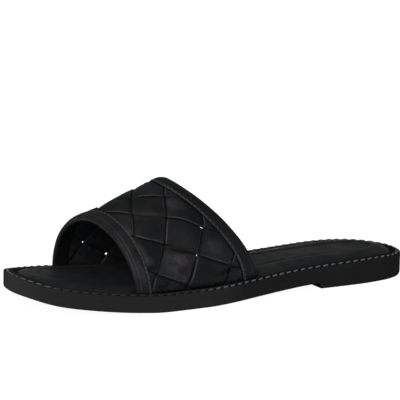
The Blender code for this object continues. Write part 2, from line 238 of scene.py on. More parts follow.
# Creases in the strap, in cells of the plait: middle, half length, direction in degrees from s to t, half
# width, and depth in metres. A minus depth is a ridge.
STRAP_CREASES = (
    ("s", "t", "reach", "turn", "width", "depth"),
    (1.52, 0.10, 0.34, 4, 0.050, 0.00075),
    (1.48, 0.26, 0.32, 6, 0.110, -0.00050),
    (1.40, 0.80, 0.30, -6, 0.090, -0.00040),
    (1.28, 0.62, 0.26, 62, 0.090, 0.00026),
    (1.74, 0.56, 0.22, 100, 0.090, -0.00024),
    (2.36, 0.68, 0.20, 70, 0.080, -0.00042),
    (2.20, 0.86, 0.15, 20, 0.060, 0.00060),
    (1.70, 1.30, 0.20, 30, 0.060, 0.00060),
    (1.62, 1.12, 0.30, -8, 0.070, 0.00035),
    (1.36, 1.22, 0.20, -20, 0.060, -0.00032),
    (0.66, -0.36, 0.26, 95, 0.100, -0.00040),
    (0.42, 0.36, 0.26, 4, 0.060, 0.00030),
    (0.10, 0.20, 0.16, 45, 0.060, 0.00060),
    (1.88, -1.50, 0.30, 90, 0.050, -0.00026),
    (2.50, -0.95, 0.36, 0, 0.060, 0.00020),
    (4.60, -2.30, 0.26, 40, 0.080, 0.00035),
    (5.30, -2.60, 0.22, -15, 0.080, -0.00028),
    (5.60, -3.50, 0.24, 70, 0.060, 0.00035),
)

# Depth of crease at which its painted shade is quite dark
CREASE_SHADE = 0.00045

# Seams of the plait that lie flat, where the painted shade and the painted highlight fade: middle and reach
# in cells, and how far they fade
SOFT_SEAMS = (("s", "t", "reach", "share"), (2.50, -1.0, 0.42, 0.8), (1.50, 0.0, 0.34, 0.45))

# Cells that are rubbed paler, or darker where minus, which is partly painted shade: middle, reach and share
RUBBED_AND_SHADED_CELLS = (
    ("s", "t", "reach", "share"),
    (1.50, 0.50, 0.46, 1.00),
    (1.45, 0.26, 0.22, 0.70),
    (1.30, 0.84, 0.20, 0.50),
    (2.35, 0.72, 0.18, 0.70),
    (0.68, -0.40, 0.24, 0.90),
    (1.78, -1.60, 0.30, 0.80),
    (2.50, -2.45, 0.45, 0.35),
    (2.50, -0.50, 0.50, -0.35),
    (2.62, 0.35, 0.35, -0.45),
    (0.50, 0.55, 0.45, -0.20),
    (5.00, -2.50, 0.40, 0.40),
)

# Soft folds of the footbed: place, half length, direction in degrees from the foot's length, half width
# and depth
FOOTBED_CREASES = (
    ("x", "y", "reach", "turn", "width", "depth"),
    (0.004, -0.045, 0.022, 6, 0.0022, 0.00035),
    (-0.006, -0.060, 0.018, -5, 0.0020, 0.00030),
    (0.010, -0.078, 0.016, 12, 0.0024, 0.00030),
    (-0.012, -0.088, 0.014, -14, 0.0020, 0.00025),
    (0.012, -0.030, 0.018, -8, 0.0026, -0.00025),
    (-0.004, -0.100, 0.010, 30, 0.0022, 0.00022),
    (-0.010, 0.075, 0.020, 10, 0.0030, 0.00022),
    (0.012, 0.095, 0.012, -20, 0.0030, 0.00018),
)

# Noises: scale, detail and roughness
NOISES = {
    "warp": (260.0, 2.0, 0.5),
    "wrinkle": (420.0, 4.0, 0.6),
    "puff": (120.0, 2.0, 0.5),
    "patches": (55.0, 5.0, 0.62),
    "streaks": (190.0, 5.0, 0.7),
    "cast": (34.0, 1.0, 0.5),
    "cloud": (60.0, 4.0, 0.5),
    "sparks": (1800.0, 2.0, 0.5),
    "twist": (2600.0, 2.0, 0.5),
}

# Leather grain: warp of its cells, and depths of cells, wrinkles and puffs
CELL_WARP = (0.0012, 0.0012, 0.0012)
GRAIN_DEPTH = 0.5
WRINKLE_DEPTH = 0.4
PUFF_DEPTH = 2.2
GRAIN_RELIEF = 0.00025
WEAR_RANGE = (0.42, 0.72)
SCUFF_RANGE = (0.40, 0.78)
CAST_RANGE = (0.45, 0.55)

# Leather looks: dark and light colour, roughness, size of a grain cell, bump, and strength of the painted
# highlight on the edges
STRIP_LOOK = ((0.0045, 0.0047, 0.0050), (0.0125, 0.0128, 0.0135), 0.44, 0.0008, 0.50, 0.9)
BINDING_LOOK = ((0.0055, 0.0057, 0.0060), (0.0125, 0.0128, 0.0135), 0.46, 0.0008, 0.45, 0.9)
FOOTBED_LOOK = ((0.0092, 0.0094, 0.0096), (0.0175, 0.0179, 0.0181), 0.46, 0.0009, 0.40, 0.0)
EDGE_HIGHLIGHT_COLOUR = (0.075, 0.077, 0.080)
PAINTED_SHADE_COLOUR = (0.0006, 0.0006, 0.0006)
PAINTED_SHADE_SHARE = 0.97
SCUFF_COLOUR = (0.034, 0.035, 0.037)
COOL_CAST = (0.86, 1.02, 1.08)
WARM_CAST = (1.08, 0.97, 1.02)
LEATHER_SHINE = 0.12

# Rubber, and painted light that makes its forefoot paler: share of LENGTH, and how far the painted light
# lightens it
RUBBER_DARK = (0.0100, 0.0100, 0.0102)
RUBBER_LIGHT = (0.0150, 0.0150, 0.0152)
RUBBER_ROUGHNESS = 0.62
RUBBER_RELIEF = (0.35, 0.0002)
LIT_STRETCH = ((0.0, 0.0), (0.49, 0.0), (0.56, 0.27), (0.93, 0.20), (0.985, 0.50), (1.0, 0.66))
PAINTED_LIGHT_COLOUR = (0.034, 0.034, 0.035)

# Thread, and painted shade on the rim's: share of LENGTH, and how much of the thread it darkens
RIM_THREAD = (0.105, 0.105, 0.108)
BINDING_THREAD = (0.042, 0.042, 0.044)
THREAD_SHADES = (0.6, 1.4)
THREAD_RELIEF = (0.5, 0.0001)
THREAD_ROUGHNESS = 0.45
THREAD_SHINE = 0.25
SHADED_STRETCH = (
    (0.0, 0.9), (0.015, 0.8), (0.05, 0.0), (0.57, 0.0), (0.64, 0.9), (0.93, 0.85), (0.962, 0.0),
    (0.985, 0.1), (1.0, 0.8)
)
THREAD_SHADE_COLOUR = (0.012, 0.012, 0.013)

# Strips of the plait in each direction, and the seeds of what is uneven
PLAIT_STRIPS = range(-9, 13)
PLAIT_SEED = 11
STITCH_SEED = 5

# Layers of a flat strip: lift, place across, crown and the painted shade of its crossings, and its cells
# along both directions
SHEET_LAYERS = ("lift", "across", "crown", "crevice_shade", "cell_s", "cell_t")

# Mesh fineness
SOLE_STATIONS = 180
CAP_COLUMNS = 36
STRIP_STEPS = 16
STRIP_COLUMNS = 17
BINDING_STATIONS = 170
GIRTH_SAMPLES = 400
TURN_STEP = 0.004
RIM_STATIONS = 241
LINE_STATIONS = 260
LINE_END = 0.02


def column(table, name):
    """One column of a table whose first row names its columns."""
    place = table[0].index(name)
    return np.array([row[place] for row in table[1:]], float)


def smooth_curve(xs, ys, at):
    """A curve through the points that never overshoots them."""
    steps = np.diff(xs)
    slopes = np.diff(ys) / steps
    tangents = np.zeros(len(xs))
    for i in range(1, len(xs) - 1):
        if slopes[i - 1] * slopes[i] > 0:
            before = 2 * steps[i] + steps[i - 1]
            after = steps[i] + 2 * steps[i - 1]
            tangents[i] = (before + after) / (before / slopes[i - 1] + after / slopes[i])
    tangents[0] = slopes[0]
    tangents[-1] = slopes[-1]
    at = np.clip(at, xs[0], xs[-1])
    i = np.clip(np.searchsorted(xs, at) - 1, 0, len(xs) - 2)
    t = (at - xs[i]) / steps[i]
    low = ys[i] * (1 + 2 * t) * (1 - t) ** 2 + steps[i] * tangents[i] * t * (1 - t) ** 2
    high = ys[i + 1] * t**2 * (3 - 2 * t) + steps[i] * tangents[i + 1] * t**2 * (t - 1)
    return low + high


def swing(share):
    return np.arccos(np.clip(1 - 2 * share, -1, 1))


def share_of(y):
    return y / LENGTH + 0.5


OUTLINE_SWING = swing(column(OUTLINE, "share"))
LATERAL_WIDTHS = column(OUTLINE, "scale") * column(OUTLINE, "lateral")
MEDIAL_WIDTHS = column(OUTLINE, "scale") * column(OUTLINE, "medial")
SIDE_SHIFT = (LATERAL_WIDTHS.max() - MEDIAL_WIDTHS.max()) / 2
PLATE_HEIGHTS = HEEL_RISE * column(PLATE, "heel") + TOE_SPRING * column(PLATE, "toe")
RIDGE_HEIGHTS = VAMP_HEIGHT + (INSTEP_HEIGHT - VAMP_HEIGHT) * column(LAST, "height")


def lateral_x(y):
    return SIDE_SHIFT - smooth_curve(OUTLINE_SWING, LATERAL_WIDTHS, swing(share_of(y)))


def medial_x(y):
    return SIDE_SHIFT + smooth_curve(OUTLINE_SWING, MEDIAL_WIDTHS, swing(share_of(y)))


def plate_z(y):
    return smooth_curve(column(PLATE, "share"), PLATE_HEIGHTS, share_of(y))


def sole_z(y):
    return np.where(y <= BREAST + 1e-9, 0.0, plate_z(y))


def rim_z(y):
    return plate_z(y) + RIM


def sole_stations():
    """Places along the sole, close together at heel and toe, with two at the heel's breast."""
    places = -LENGTH / 2 * np.cos(np.linspace(0, math.pi, SOLE_STATIONS + 1))
    away = np.abs(places - BREAST - HEEL_DRAFT / 2) > 0.8 * HEEL_DRAFT
    return np.sort(np.append(places[away], (BREAST, BREAST + HEEL_DRAFT)))


def outline_ring(inset, stations):
    """The sole's outline moved inwards: heel tip, medial side, toe tip, lateral side."""
    inner = stations[1:-1]
    tips = np.array([(SIDE_SHIFT, stations[0]), (SIDE_SHIFT, stations[-1])])
    lateral = np.stack((lateral_x(inner), inner), -1)
    medial = np.stack((medial_x(inner), inner), -1)
    loop = np.concatenate((tips[:1], medial, tips[1:], lateral[::-1]))
    along = np.roll(loop, -1, 0) - np.roll(loop, 1, 0)
    along /= np.linalg.norm(along, axis=1)[:, None]
    return loop + np.asarray(inset)[..., None] * np.stack((-along[:, 1], along[:, 0]), -1)


def lifted(ring, heights):
    return np.column_stack((ring, heights))


def new_object(name, data):
    made = bpy.data.objects.new(name, data)
    bpy.context.scene.collection.objects.link(made)
    return made


def mesh_data(name, mesh):
    """A bmesh as mesh data."""
    data = bpy.data.meshes.new(name)
    mesh.to_mesh(data)
    mesh.free()
    return data


def add_piece(name, data, material, nodes=()):
    """Turns a bmesh or mesh data into a finished piece that rides on the sandal."""
    if isinstance(data, bmesh.types.BMesh):
        data = mesh_data(name, data)
    piece = new_object(name, data)
    if not data.materials:
        data.materials.append(material)
    data.shade_smooth()
    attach(piece, "root")
    for node in nodes:
        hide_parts(node)
    return piece


def bridge(mesh, rows):
    """Quads between closed rows of vertices."""
    for low, high in zip(rows, rows[1:]):
        for i in range(len(low)):
            after = (i + 1) % len(low)
            mesh.faces.new((low[i], low[after], high[after], high[i]))


def loft(rings, top_z=None):
    """A closed form through rings of the outline, whose ends are closed by ladders of quads. The upper end
    may take a function of x and y for the heights of its inner points."""
    mesh = bmesh.new()
    layers = [[mesh.verts.new(point) for point in ring] for ring in rings]
    count = len(layers[0])
    bridge(mesh, layers)
    for layer, top in ((layers[0], False), (layers[-1], True)):
        middle = count // 2
        rows = [[layer[0]] * (CAP_COLUMNS + 1)]
        for i in range(1, middle):
            right = layer[i]
            left = layer[count - i]
            row = [right]
            for k in range(1, CAP_COLUMNS):
                x, y, z = right.co.lerp(left.co, k / CAP_COLUMNS)
                if top and top_z:
                    z = float(top_z(x, y))
                row.append(mesh.verts.new((x, y, z)))
            rows.append(row + [left])
        rows.append([layer[middle]] * (CAP_COLUMNS + 1))
        for before, after in zip(rows, rows[1:]):
            for k in range(CAP_COLUMNS):
                corners = list(dict.fromkeys((before[k], after[k], after[k + 1], before[k + 1])))
                mesh.faces.new(corners if top else corners[::-1])
    return mesh


def crease_depth(table, across, along):
    """Depth of listed creases at flat places: a trough with soft ends for each row of the table."""
    depth = np.zeros(np.shape(across))
    for first, second, reach, turn, width, deep in table[1:]:
        c = math.cos(math.radians(turn))
        s = math.sin(math.radians(turn))
        dx = across - first
        dy = along - second
        run = (dx * c + dy * s) / reach
        off = (dy * c - dx * s) / width + 0.5 * run**2
        depth += deep * np.exp(-(off**2)) * np.exp(-(run**2))
    return depth


def spots(table, across, along):
    """Sum of round soft spots, one for each row of the table."""
    total = np.zeros(np.shape(across))
    for first, second, reach, share in table[1:]:
        total += share * np.exp(-(((across - first) ** 2 + (along - second) ** 2) / reach**2) ** 2)
    return total


def make_outsole(material):
    """The rubber sole, with a layer of painted shade on its breast and in the hollow of the arch ahead of it.
    """
    stations = sole_stations()
    edge = outline_ring(0.0, stations)
    base = sole_z(edge[:, 1])
    top = plate_z(edge[:, 1]) + OUTSOLE_THICKNESS
    rings = [lifted(outline_ring(inset, stations), base + rise) for inset, rise in TREAD_EDGE]
    eased = TREAD_EDGE[-1][1]
    for share in (0.3, 0.65):
        rings.append(lifted(edge, base + eased + (top - base - eased) * share))
    rings.append(lifted(edge, top))
    rings += [lifted(outline_ring(inset, stations), top + rise) for inset, rise in JOINT_EDGE]
    mesh = loft(rings)
    groove_shade = mesh.verts.layers.float.new("groove_shade")
    for i, vert in enumerate(mesh.verts):
        ahead = vert.co.y - BREAST
        cap = i >= len(rings) * len(edge)
        under = i < len(edge) or (cap and vert.co.z < plate_z(vert.co.y) + 0.0005)
        # Painted shade on the breast and under the arch just ahead of it
        vert[groove_shade] = float(under and ahead > -0.0001) * float(np.clip(1.4 - ahead / BREAST_SHADE, 0, 1))
    return add_piece("outsole_rubber", mesh, material, ["outsole"])


def make_midsole(material):
    """The board, with painted shade in the channel that the rim's stitches lie in."""
    stations = sole_stations()
    edge = outline_ring(0.0, stations)
    base = plate_z(edge[:, 1]) + OUTSOLE_THICKNESS + CLEARANCE
    top = base + MIDSOLE_THICKNESS
    rings = [lifted(outline_ring(inset, stations), base - drop) for inset, drop in JOINT_EDGE[::-1]]
    for share in (0.0, 0.35, 0.7):
        rings.append(lifted(edge, base + (MIDSOLE_THICKNESS - BOARD_EDGE) * share))
    for angle in np.linspace(0, math.pi / 2, 5):
        inset = BOARD_EDGE * (1 - math.cos(angle))
        rings.append(lifted(outline_ring(inset, stations), top - BOARD_EDGE * (1 - math.sin(angle))))
    shade = [0.0] * len(rings)
    for place in CHANNEL_PLACES:
        dip = CHANNEL_DEPTH * (1 - abs(place)) ** 0.5
        inset = RIM_STITCH_INSET + CHANNEL_HALF * place
        rings.append(lifted(outline_ring(inset, stations), top - dip))
        # Painted shade in the stitch channel
        shade.append(float(abs(place) < 1))
    rings.append(lifted(outline_ring(BOARD_INNER, stations), top))
    mesh = loft(rings, lambda x, y: rim_z(y))
    tone_rings(mesh, "groove_shade", len(edge), shade + [0.0], 0)
    return add_piece("midsole_board", mesh, material, ["midsole"])


def worn_share(y):
    """How far the heel's pressure has marked the footbed: fully at the heel, a little at the toe."""
    return np.clip(0.6 - y / 0.05, 0.2, 1)


def footbed_z(x, y, inset):
    """Height of the footbed at a distance in from its edge: a padded shoulder and a shallow bed."""
    share = np.clip(inset / INSOLE_SHOULDER, 0, 1)
    crown = INSOLE_WALL + INSOLE_CROWN * (1 - (1 - share) ** 2.4)
    bed = np.clip((inset - INSOLE_SHOULDER * 0.6) / BED_RUN, 0, 1)
    bed = bed**2 * (3 - 2 * bed)
    sunk = crease_depth(FOOTBED_CREASES, x, y)
    for place, reach, depth in FOOTBED_HOLLOWS[1:]:
        sunk = sunk + depth * np.exp(-(((y - place) / reach) ** 2))
    bead = np.exp(-(((inset - INSOLE_SHOULDER) / BEAD_WIDTH) ** 2))
    bead -= np.exp(-(((inset - INSOLE_SHOULDER - VALLEY_PLACE) / VALLEY_WIDTH) ** 2))
    return rim_z(y) + CLEARANCE + crown - bed * sunk + INSOLE_BEAD * worn_share(y) * bead


def skirt_width(ring):
    """How far the footbed's edge runs out over the rim: nothing between the feet of the strap."""
    lateral = ring[:, 0] < SIDE_SHIFT
    rear, front = (
        np.where(lateral, column(STRAP, end)[0], column(STRAP, end)[2]) for end in ("rear", "front")
    )
    share = share_of(ring[:, 1])
    clear = np.maximum(rear - share, share - front) * LENGTH
    return INSOLE_SKIRT * np.clip(clear / INSOLE_SKIRT, 0, 1)


def bead_at(share, line):
    """Strength, at a share of the shoulder, of a line that runs round the footbed at or beyond it."""
    beyond, width, strength = line
    return strength * math.exp(-((((share - 1) * INSOLE_SHOULDER - beyond) / width) ** 2))


def tone_rings(mesh, name, count, values, rest, fade=lambda y: 1.0):
    """Gives a layer its value on each ring of a loft, which may fade along the foot, and on its ends."""
    layer = mesh.verts.layers.float.new(name)
    for i, vert in enumerate(mesh.verts):
        vert[layer] = values[i // count] * float(fade(vert.co.y)) if i < count * len(values) else rest


def make_insole(material):
    """The padded footbed, whose bead carries a painted highlight, whose wall and valley behind the bead carry
    painted shade, and whose bed is a little paler.
    """
    stations = sole_stations()
    edge = outline_ring(INSOLE_INSET, stations)
    skirt = skirt_width(edge)
    rings = []
    wall = np.linspace(0, 1, 7)
    for share in wall:
        ring = outline_ring(INSOLE_INSET - skirt * (1 - share), stations)
        rise = share**2 * (3 - 2 * share) * (INSOLE_WALL + CLEARANCE)
        rings.append(lifted(ring, rim_z(ring[:, 1]) + SKIRT_LIFT + rise))
    for share in FOOTBED_SHARES:
        ring = outline_ring(INSOLE_INSET + share * INSOLE_SHOULDER, stations)
        inset = np.full(len(ring), share * INSOLE_SHOULDER)
        rings.append(lifted(ring, footbed_z(ring[:, 0], ring[:, 1], inset)))

    def top_z(x, y):
        inset = min(medial_x(y) - x, x - lateral_x(y)) - INSOLE_INSET
        ends = min(y + LENGTH / 2, LENGTH / 2 - y) - INSOLE_INSET
        return footbed_z(x, y, max(min(inset, ends), FOOTBED_SHARES[-1] * INSOLE_SHOULDER))

    mesh = loft(rings, top_z)
    # Painted highlight on the bead, painted shade on the wall and in the valley, all weaker towards the toe
    painted_light = [WALL_SHADE] * len(wall) + [bead_at(share, BEAD_HIGHLIGHT) for share in FOOTBED_SHARES]
    shadow = [0.0] * len(wall) + [bead_at(share, VALLEY_SHADOW) for share in FOOTBED_SHARES]
    tone_rings(mesh, "wear_and_painted_light", len(edge), painted_light, BED_RUB, worn_share)
    tone_rings(mesh, "crevice_shade", len(edge), shadow, 0, worn_share)
    piece = add_piece("insole_pad", mesh, material, ["insole"])
    return piece


def strap_end(turn, end):
    """Place of the strap's rear or front end along the foot, at each turn round the foot."""
    lateral, ridge, medial = LENGTH * (column(STRAP, end) - 0.5)
    if end == "rear":
        blend = np.sin(turn) ** 2
    else:
        blend = 1 - np.abs(np.cos(turn))
    foot = np.where(turn < math.pi / 2, lateral, medial)
    return foot + (ridge - foot) * blend


def last_point(turn, reach):
    """The strap's outer form: turn 0 at the lateral foot and pi at the medial foot, reach 0 at the rear
    edge and 1 at the front edge."""
    y = (1 - reach) * strap_end(turn, "rear") + reach * strap_end(turn, "front")
    share = share_of(y)
    ridge = SIDE_SHIFT + BALL_WIDTH * smooth_curve(column(LAST, "share"), column(LAST, "ridge"), share)
    height = smooth_curve(column(LAST, "share"), RIDGE_HEIGHTS, share)
    foot_z = rim_z(y) + FOOT_GAP
    across = np.abs(np.cos(turn))
    up = np.abs(np.sin(turn))
    lateral = np.cos(turn) >= 0
    power = np.where(lateral, 2 / LATERAL_ROUNDNESS, 2 / MEDIAL_ROUNDNESS)
    foot_x = np.where(lateral, lateral_x(y) + STRAP_INSET, medial_x(y) - STRAP_INSET)
    x = ridge + (foot_x - ridge) * across**power
    z = foot_z + (height - foot_z) * up**power
    return np.stack((x, y, z), -1)


def strap_frame(turn, reach):
    """Points of the strap's outer form with their outward and lengthwise directions."""
    low = np.clip(turn - TURN_STEP, 0, math.pi)
    high = np.clip(turn + TURN_STEP, 0, math.pi)
    along = last_point(high, reach) - last_point(low, reach)
    ahead = last_point(turn, reach + TURN_STEP) - last_point(turn, reach - TURN_STEP)
    out = np.cross(along, ahead)
    out /= np.linalg.norm(out, axis=-1, keepdims=True)
    out[..., 2] = np.where(np.abs(np.cos(turn)) > 0.999, 0.0, out[..., 2])
    return last_point(turn, reach), out


def strap_point(turn, reach, lift):
    point, out = strap_frame(turn, reach)
    return point + np.asarray(lift)[..., None] * out


def strap_depth(turn):
    return strap_end(turn, "front") - strap_end(turn, "rear")


TURNS = np.linspace(0, math.pi, GIRTH_SAMPLES)
MIDDLE_LINE = last_point(TURNS, np.full(GIRTH_SAMPLES, 0.5))
GIRTHS = np.append(0, np.cumsum(np.linalg.norm(np.diff(MIDDLE_LINE, axis=0), axis=1)))
GIRTH = GIRTHS[-1]


def plait_place(s, t):
    """Flat place in the plait: girth from the lateral foot, and share of the strap's depth."""
    row = s + t
    node = FIRST_NODE + STRIP_WIDTH / math.sqrt(2) * (s - t)
    along = node - NODE_SLANT * (1 - 2 * node / GIRTH) * row
    foot = np.maximum(0, 1 - np.minimum(along, GIRTH - along) / DROOP_RUN)
    start = FIRST_ROW + ROW_DRIFT * along / GIRTH - ROW_DROOP * foot**2
    return along, start + ROW_STEP * row - ROW_CLOSING * row**2


def depth_place(turn, share):
    """Distance from the rear edge: the bindings keep their width, and the plait takes the rest."""
    depth = strap_depth(turn)
    after_front = (share - FRONT_MOUTH) / (1 - FRONT_MOUTH)
    inside = (share - REAR_MOUTH) / (FRONT_MOUTH - REAR_MOUTH)
    rear = BINDING_END + (REAR_BINDING_WIDTH - BINDING_END) * share / REAR_MOUTH
    plait = REAR_BINDING_WIDTH + (depth - FRONT_BINDING_WIDTH - REAR_BINDING_WIDTH) * inside
    front = depth - FRONT_BINDING_WIDTH + (FRONT_BINDING_WIDTH - BINDING_END) * after_front
    return np.where(share < REAR_MOUTH, rear, np.where(share > FRONT_MOUTH, front, plait))


def strip_sheet(index, runs_along_s, wander):
    """One strip of the plait laid flat, as a bmesh whose layers hold its lift and its place in the plait."""
    mesh = bmesh.new()
    layers = [mesh.verts.layers.float.new(name) for name in SHEET_LAYERS]
    first = FIRST_WEAVE_ROW - index
    last = LAST_WEAVE_ROW - index
    half = 0.5 - STRIP_GAP / STRIP_WIDTH / 2
    rows = []
    for i in range((last - first + 1) * STRIP_STEPS + 1):
        cell = min(first + i // STRIP_STEPS, last)
        place = -math.cos(math.pi * (i / STRIP_STEPS - (cell - first)))
        run = cell + (1 + place) / 2
        over = (cell + index) % 2 == (1 if runs_along_s else 0)
        arch = 1 - abs(place) ** STRIP_ARCH
        # Painted shade where the strip dives under its crossing neighbours
        crevice_shade = math.exp(-(((1 - abs(place)) / CROSSING_SHADE_REACH) ** 2))
        row = []
        for k in range(STRIP_COLUMNS):
            across = math.sin(math.pi * (k / (STRIP_COLUMNS - 1) - 0.5))
            edge = wander[0 if across < 0 else 1]
            sway = EDGE_WANDER / STRIP_WIDTH * abs(across) ** 3 * math.sin(edge[0] * run + edge[1])
            beside = index + 0.5 + half * across + sway
            cell_s, cell_t = (run, beside) if runs_along_s else (beside, run)
            x, y = plait_place(cell_s, cell_t)
            vert = mesh.verts.new((float(x), float(y), 0.0))
            values = (arch if over else -arch, across, arch if over else 0.0, crevice_shade, cell_s, cell_t)
            for layer, value in zip(layers, values):
                vert[layer] = value
            row.append(vert)
        rows.append(row)
    for before, after in zip(rows, rows[1:]):
        for k in range(STRIP_COLUMNS - 1):
            mesh.faces.new((before[k], after[k], after[k + 1], before[k + 1]))
    return mesh


def cut_flat(mesh, place, axis, keep_above):
    """Cuts a flat strip along a line and drops the side past it."""
    normal = Vector([float(axis == i) for i in range(3)])
    bmesh.ops.bisect_plane(
        mesh,
        geom=mesh.verts[:] + mesh.edges[:] + mesh.faces[:],
        dist=1e-7,
        plane_co=place * normal,
        plane_no=normal,
        clear_inner=keep_above,
        clear_outer=not keep_above,
    )


def wrap_strip(mesh, shade):
    """Wraps a flat strip round the last and gives it its leather. Returns False if nothing is left."""
    for axis, far_side in ((0, float(GIRTH)), (1, 1.0)):
        cut_flat(mesh, 0.0, axis, True)
        cut_flat(mesh, far_side, axis, False)
    if not mesh.faces:
        return False
    layers = mesh.verts.layers.float
    highlight_layer = layers.new("edge")
    wear_and_light_layer = layers.new("wear_and_painted_light")
    verts = mesh.verts[:]
    flat = np.array([vert.co for vert in verts], float)
    held = (np.array([vert[layers[name]] for vert in verts]) for name in SHEET_LAYERS)
    lift, across, crown, crevice_shade, cell_s, cell_t = held
    girth = flat[:, 0]
    turn = np.interp(girth, GIRTHS, TURNS)
    place = depth_place(turn, flat[:, 1])
    depth = strap_depth(turn)
    open_run = np.minimum(place - REAR_BINDING_WIDTH, depth - FRONT_BINDING_WIDTH - place)
    free = np.clip(open_run / BINDING_RUN, 0, 1)
    foot = np.clip(np.minimum(girth, GIRTH - girth) / RIM_RUN, 0, 1)
    shown = BOUND_RELIEF + (1 - BOUND_RELIEF) * free * (LOW_RELIEF + (1 - LOW_RELIEF) * foot)
    middle = BINDING_MIDDLE + free * (-WEAVE_DEPTH - STRIP_SINK - BINDING_MIDDLE) + shown * STRIP_LIFT * lift
    middle += shown * STRIP_CROWN * crown * (1 - across**2)
    middle += shown * STRIP_ROLL * crown * np.exp(-(((np.abs(across) - ROLL_PLACE) / ROLL_WIDTH) ** 2))
    creases = free * crease_depth(STRAP_CREASES, cell_s, cell_t)
    middle -= creases
    leather = STRIP_LEATHER * (BOUND_LEATHER + (1 - BOUND_LEATHER) * free)
    half = leather * (0.10 + 0.40 * np.sqrt(1 - np.clip(np.abs(across), 0, 1) ** EDGE_SQUARENESS))
    outer = strap_point(turn, place / depth, middle + half)
    inner = strap_point(turn, place / depth, middle - half)
    sharp = 1 - spots(SOFT_SEAMS, cell_s, cell_t)
    # Painted highlight along the strip's long edges, weaker on the inner face
    painted_light = np.clip((np.abs(across) - HIGHLIGHT_START) / HIGHLIGHT_RUN, 0, 1) * (0.2 + 0.8 * crown) * sharp
    # Painted shade in the crossings and in the creases, half as strong on the inner face
    shadow = crevice_shade * sharp + np.clip(creases / CREASE_SHADE, 0, 0.8)
    # Rubbed and scuffed cells, with painted shade in the darker ones, and an uneven tone for each strip
    wear_and_painted_light = spots(RUBBED_AND_SHADED_CELLS, cell_s, cell_t) + STRIP_TONES * (shade - 0.5)
    inner_verts = []
    for i, vert in enumerate(verts):
        vert.co = outer[i]
        vert[highlight_layer] = painted_light[i]
        vert[wear_and_light_layer] = wear_and_painted_light[i]
        vert[layers["crevice_shade"]] = shadow[i]
        twin = mesh.verts.new(inner[i])
        twin[highlight_layer] = 0.4 * painted_light[i]
        twin[wear_and_light_layer] = 0.8
        twin[layers["crevice_shade"]] = 0.5 * shadow[i]
        inner_verts.append(twin)
    behind = dict(zip(verts, inner_verts))
    rim = [edge.link_loops[0] for edge in mesh.edges if edge.is_boundary]
    for face in mesh.faces[:]:
        mesh.faces.new([behind[vert] for vert in reversed(face.verts)])
    for loop in rim:
        start = loop.vert
        end = loop.link_loop_next.vert
        mesh.faces.new((end, start, behind[start], behind[end]))
    bmesh.ops.recalc_face_normals(mesh, faces=mesh.faces[:])
    return True


def make_upper(material):
    """The plait: strips that run towards the toe on the big toe side, crossed by those that run back."""
    chance = np.random.default_rng(PLAIT_SEED)
    whole = bmesh.new()
    scrap = bpy.data.meshes.new("strip_scrap")
    for runs_along_s in (True, False):
        for index in PLAIT_STRIPS:
            wander = chance.uniform((3.0, 0.0), (5.0, 6.28), (2, 2))
            shade = chance.uniform(0, 1)
            mesh = strip_sheet(index, runs_along_s, wander)
            if wrap_strip(mesh, shade):
                mesh.to_mesh(scrap)
                whole.from_mesh(scrap)
            mesh.free()
    bpy.data.meshes.remove(scrap)
    return add_piece("plaited_upper", whole, material, ["upper"])


def binding_section(width):
    """Section of a folded binding: distance from its fold, lift and share of painted highlight, once round.
    """
    outer = BINDING_PROUD
    inner = -BINDING_INSIDE
    middle = (outer + inner) / 2
    fold = (outer - inner) / 2
    round_edge = BINDING_LEATHER * 0.45
    points = [(width, outer - BINDING_LEATHER, 0.0)]
    for angle in np.linspace(0, math.pi / 2, 4):
        distance = width - round_edge * (1 - math.cos(angle))
        points.append((distance, outer - round_edge * (1 - math.sin(angle)), 1.0))
    for share in np.linspace(0.94, 0.20, 26):
        stitched = math.exp(-(((width * (1 - share) - BINDING_STITCH_INSET) / DENT_WIDTH) ** 2))
        turned = math.exp(-(((width * share - BINDING_LIP) / LIP_WIDTH) ** 2))
        ridge = math.exp(-(((width * share - BINDING_LIP - RIDGE_PLACE) / RIDGE_WIDTH) ** 2))
        dome = BINDING_DOME * math.sin(math.pi * min(1, share * 1.05)) - BINDING_DENT * stitched
        points.append((width * share, outer + dome - LIP_DEPTH * turned + RIDGE_RISE * ridge, 0.25 * ridge))
    for angle in np.linspace(0, math.pi, 15)[1:-1]:
        points.append((FOLD_DEPTH * (1 - math.sin(angle)), middle + fold * math.cos(angle), 0.0))
    for share in np.linspace(0.25, 0.93, 8):
        points.append((width * share, inner, 0.0))
    for angle in np.linspace(math.pi / 2, 0, 4):
        distance = width - round_edge * (1 - math.cos(angle))
        points.append((distance, inner + round_edge * (1 - math.sin(angle)), 0.0))
    points += [(width, inner + BINDING_LEATHER, 0.0), (FOLD_DEPTH, inner + BINDING_LEATHER, 0.0)]
    return points + [(FOLD_DEPTH, outer - BINDING_LEATHER, 0.0)]


def binding_wave(turn, seed):
    """Slow waviness of a binding's stitched edge and height along the strap."""
    return (np.sin(turn * 9.3 + seed) + 0.6 * np.sin(turn * 21.7 + 2 * seed)) / 1.6


